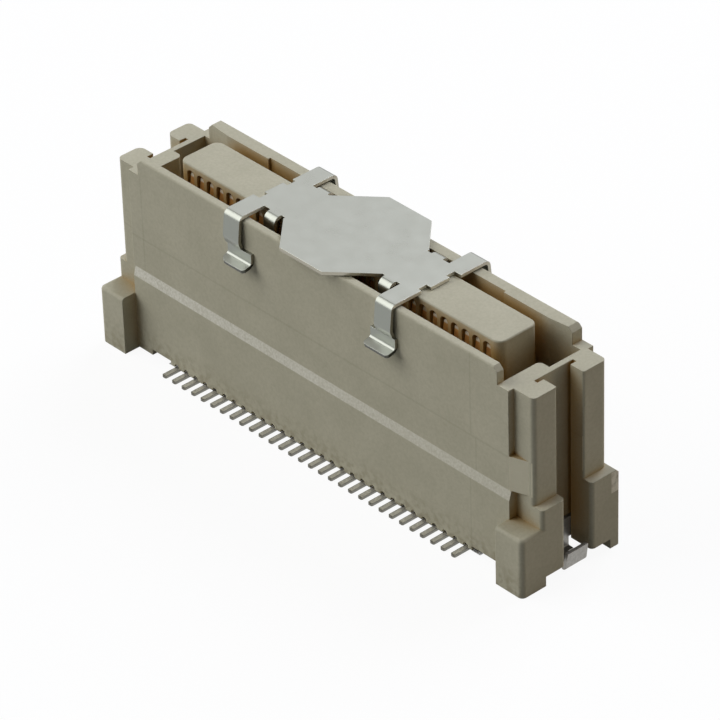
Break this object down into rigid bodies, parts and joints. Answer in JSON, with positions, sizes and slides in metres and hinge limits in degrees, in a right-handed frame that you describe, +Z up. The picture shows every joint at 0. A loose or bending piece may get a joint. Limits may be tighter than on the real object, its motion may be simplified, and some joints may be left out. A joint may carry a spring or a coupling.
{
  "type": "board to board connector receptacle",
  "caption": "Tall surface-mount board-to-board receptacle: moulded housing with centre island, two rows of contacts, end hold-downs and a clipped-on pick-up cover.",
  "frame": {"origin": "on the board plane, below the middle of the centre island", "axes": "+X along the contact rows, +Y towards the back wall, +Z up from the board"},
  "size_m": [0.0338, 0.0082, 0.0128],
  "materials": {
    "housing_resin": "matte moulded resin",
    "cover_steel": "satin rolled sheet",
    "keeper_tin": "tin plated sheet",
    "contact_alloy": "gold plated spring, tin plated tail"
  },
  "bodies": {
    "root": {"housing": "housing_resin", "pickup_cover": "cover_steel", "hold_down_left": "keeper_tin", "hold_down_right": "keeper_tin", "contact_pair_01": "contact_alloy", "contact_pair_02": "contact_alloy", "contact_pair_03": "contact_alloy", "contact_pair_04": "contact_alloy", "contact_pair_05": "contact_alloy", "contact_pair_06": "contact_alloy", "contact_pair_07": "contact_alloy", "contact_pair_08": "contact_alloy", "contact_pair_09": "contact_alloy", "contact_pair_10": "contact_alloy", "contact_pair_11": "contact_alloy", "contact_pair_12": "contact_alloy", "contact_pair_13": "contact_alloy", "contact_pair_14": "contact_alloy", "contact_pair_15": "contact_alloy", "contact_pair_16": "contact_alloy", "contact_pair_17": "contact_alloy", "contact_pair_18": "contact_alloy", "contact_pair_19": "contact_alloy", "contact_pair_20": "contact_alloy", "contact_pair_21": "contact_alloy", "contact_pair_22": "contact_alloy", "contact_pair_23": "contact_alloy", "contact_pair_24": "contact_alloy", "contact_pair_25": "contact_alloy", "contact_pair_26": "contact_alloy", "contact_pair_27": "contact_alloy", "contact_pair_28": "contact_alloy", "contact_pair_29": "contact_alloy", "contact_pair_30": "contact_alloy"}
  },
  "joints": []
}
